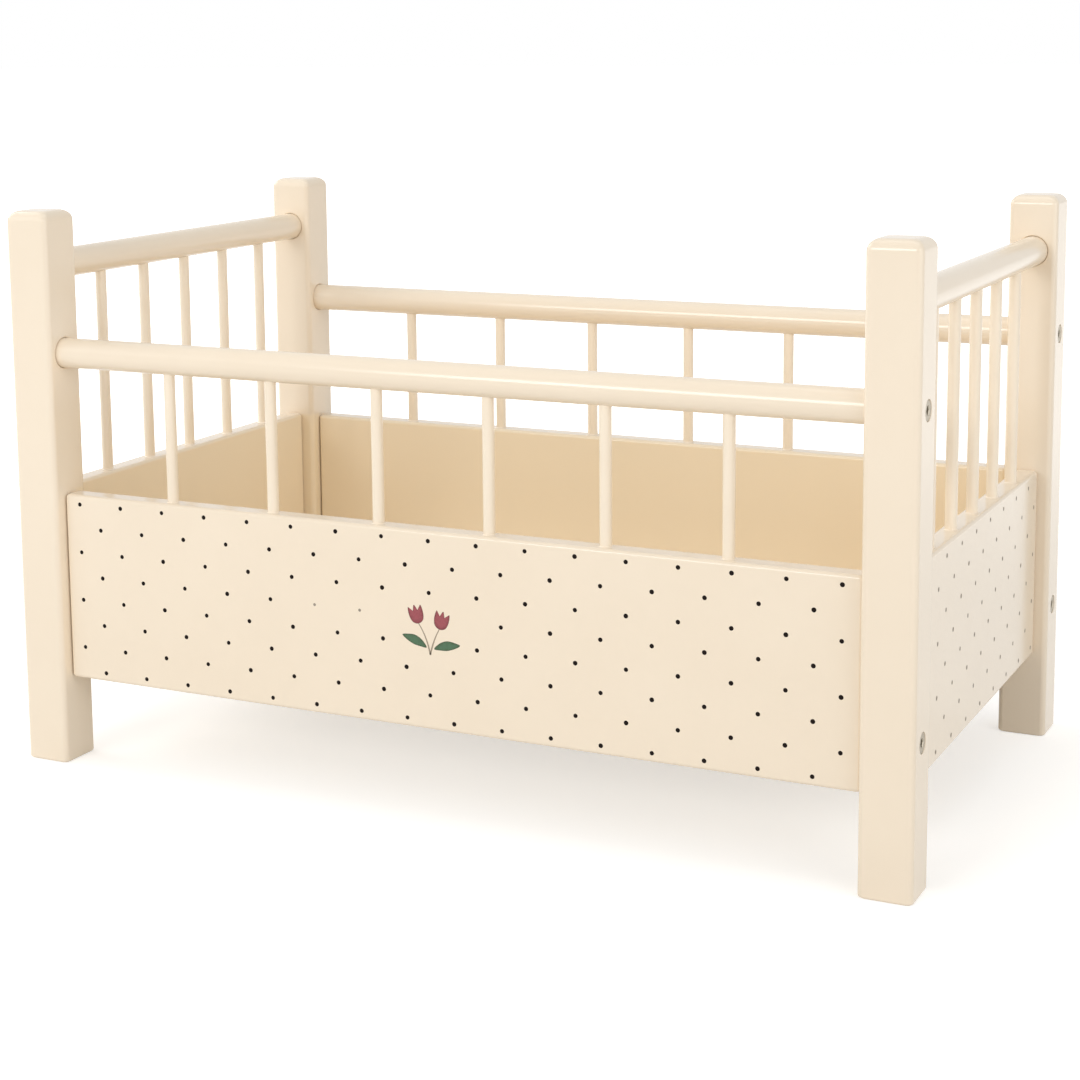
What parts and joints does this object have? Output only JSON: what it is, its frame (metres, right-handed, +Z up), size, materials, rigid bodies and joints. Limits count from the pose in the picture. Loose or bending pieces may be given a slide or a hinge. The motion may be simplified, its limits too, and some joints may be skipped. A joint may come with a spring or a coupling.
{
  "type": "doll bed",
  "caption": "wooden doll's cot in cream satin paint, with square posts, round rails, thin spindles and solid side and end panels printed with pin dots",
  "frame": {"origin": "on the floor, under the middle of the bed", "axes": "+X along the bed to its right end, +Y across it to the rear, +Z up; the front panel faces -Y"},
  "size_m": [0.494, 0.29, 0.3],
  "materials": {
    "cream_paint": "satin opaque lacquer on wood, printed outside the panels with small dark pin dots",
    "screw_steel": "zinc-plated satin",
    "bare_beech": "bare, unfinished"
  },
  "bodies": {
    "root": {"base_board": "cream_paint", "cleat_front": "cream_paint", "cleat_rear": "cream_paint", "end_dowel_front_left_lower": "bare_beech", "end_dowel_front_left_upper": "bare_beech", "end_dowel_front_right_lower": "bare_beech", "end_dowel_front_right_upper": "bare_beech", "end_dowel_rear_left_lower": "bare_beech", "end_dowel_rear_left_upper": "bare_beech", "end_dowel_rear_right_lower": "bare_beech", "end_dowel_rear_right_upper": "bare_beech", "end_panel_left": "cream_paint", "end_panel_right": "cream_paint", "end_rail_left": "cream_paint", "end_rail_right": "cream_paint", "end_spindle_left_1": "cream_paint", "end_spindle_left_2": "cream_paint", "end_spindle_left_3": "cream_paint", "end_spindle_left_4": "cream_paint", "end_spindle_left_5": "cream_paint", "end_spindle_right_1": "cream_paint", "end_spindle_right_2": "cream_paint", "end_spindle_right_3": "cream_paint", "end_spindle_right_4": "cream_paint", "end_spindle_right_5": "cream_paint", "panel_screw_front_left": "screw_steel", "panel_screw_front_right": "screw_steel", "panel_screw_rear_left": "screw_steel", "panel_screw_rear_right": "screw_steel", "post_front_left": "cream_paint", "post_front_right": "cream_paint", "post_rear_left": "cream_paint", "post_rear_right": "cream_paint", "rail_screw_front_left": "screw_steel", "rail_screw_front_right": "screw_steel", "rail_screw_rear_left": "screw_steel", "rail_screw_rear_right": "screw_steel", "side_dowel_front_left": "bare_beech", "side_dowel_front_right": "bare_beech", "side_dowel_rear_left": "bare_beech", "side_dowel_rear_right": "bare_beech", "side_panel_front": "cream_paint", "side_panel_rear": "cream_paint", "side_rail_front": "cream_paint", "side_rail_rear": "cream_paint", "side_spindle_front_1": "cream_paint", "side_spindle_front_2": "cream_paint", "side_spindle_front_3": "cream_paint", "side_spindle_front_4": "cream_paint", "side_spindle_front_5": "cream_paint", "side_spindle_front_6": "cream_paint", "side_spindle_rear_1": "cream_paint", "side_spindle_rear_2": "cream_paint", "side_spindle_rear_3": "cream_paint", "side_spindle_rear_4": "cream_paint", "side_spindle_rear_5": "cream_paint", "side_spindle_rear_6": "cream_paint"}
  },
  "joints": []
}
